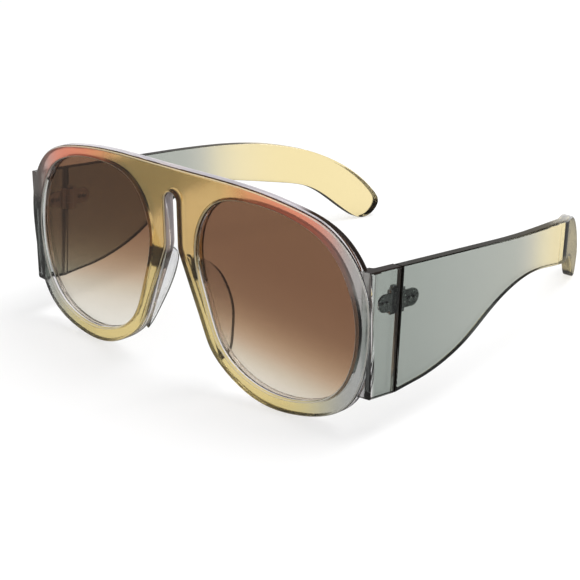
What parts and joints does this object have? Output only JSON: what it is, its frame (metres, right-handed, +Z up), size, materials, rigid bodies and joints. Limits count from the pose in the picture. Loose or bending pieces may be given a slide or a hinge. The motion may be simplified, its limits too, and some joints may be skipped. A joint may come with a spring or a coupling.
{
  "type": "folding sunglasses",
  "caption": "Oversized sunglasses with a straight brow, a keyhole bridge slot, tinted shade-fading lenses, bonded nose pads and deep tapering temples that fold on barrel hinges.",
  "frame": {"origin": "on the table, in the middle of the box round the open glasses", "axes": "+X to the wearer's left, +Y from the lenses back along the temples, +Z up from the table"},
  "size_m": [0.144, 0.1336, 0.0628],
  "materials": {
    "front_plastic": "polished transparent plastic, golden at the bridge and rim bottoms, coral at the upper corners, grey at the ends",
    "temple_plastic": "polished translucent plastic, grey fading to pale yellow at the ear hooks",
    "lens_tint": "polished brown tint that fades to clear at the bottom",
    "pad_plastic": "polished clear plastic",
    "hinge_metal": "dark plated metal with a fine grain",
    "rivet_metal": "bright heads",
    "screw_metal": "satin"
  },
  "bodies": {
    "front": {"front_frame": "front_plastic", "lens_left": "lens_tint", "lens_right": "lens_tint", "nose_pad_left": "pad_plastic", "nose_pad_right": "pad_plastic", "front_hinge_leaf_left": "hinge_metal", "front_hinge_leaf_right": "hinge_metal", "front_leaf_rivets_left": "rivet_metal", "front_leaf_rivets_right": "rivet_metal", "hinge_screw_left": "screw_metal", "hinge_screw_right": "screw_metal"},
    "temple_left": {"temple_left": "temple_plastic", "temple_hinge_leaf_left": "hinge_metal", "temple_leaf_rivets_left": "rivet_metal"},
    "temple_right": {"temple_right": "temple_plastic", "temple_hinge_leaf_right": "hinge_metal", "temple_leaf_rivets_right": "rivet_metal"}
  },
  "joints": [
    {"name": "temple_left_hinge", "type": "hinge", "parent": "front", "child": "temple_left", "pos_m": [0.0677, -0.04798, 0.03509], "axis": [0, 0.1505, 0.9886], "range_deg": [0, 80]},
    {"name": "temple_right_hinge", "type": "hinge", "parent": "front", "child": "temple_right", "pos_m": [-0.0677, -0.04798, 0.03509], "axis": [0, -0.1505, -0.9886], "range_deg": [0, 70]}
  ]
}
